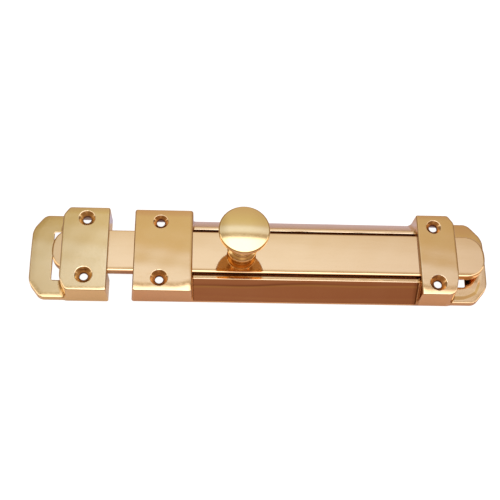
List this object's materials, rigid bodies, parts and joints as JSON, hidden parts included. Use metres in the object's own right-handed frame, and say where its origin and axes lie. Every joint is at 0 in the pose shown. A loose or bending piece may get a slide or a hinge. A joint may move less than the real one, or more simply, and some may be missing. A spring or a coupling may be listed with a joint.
{
  "type": "barrel bolt",
  "caption": "Flat-bar door bolt in polished cast brass: bar sliding under two straps, turned mushroom knob, flared body casting and a separate matching keep.",
  "frame": {"origin": "middle of the whole object's box along X and Y, on the mounting face", "axes": "+X along the sliding bar from the keep towards the bar's rear end, +Z away from the door"},
  "size_m": [0.2602, 0.0516, 0.0432],
  "materials": {
    "cast_brass": "cast, polished and lacquered",
    "keep_brass": "cast, polished and lacquered",
    "bar_brass": "drawn flat bar, mirror polished",
    "knob_brass": "turned and polished",
    "screw_brass": "turned, unpolished",
    "spring_bronze": "rolled phosphor bronze strip"
  },
  "bodies": {
    "body": {"body_casting": "cast_brass"},
    "bolt": {"bolt_bar": "bar_brass", "knob": "knob_brass", "knob_screw": "screw_brass", "friction_spring": "spring_bronze", "spring_rivet": "screw_brass"},
    "keep": {"keep_casting": "keep_brass"}
  },
  "joints": [
    {"name": "bolt_slide", "type": "slide", "parent": "body", "child": "bolt", "axis": [1, 0, 0], "range_m": [-0.0188, 0.091]},
    {"name": "keep_slide", "type": "slide", "parent": "body", "child": "keep", "axis": [-1, 0, 0], "range_m": [-0.01, 0.06]}
  ]
}
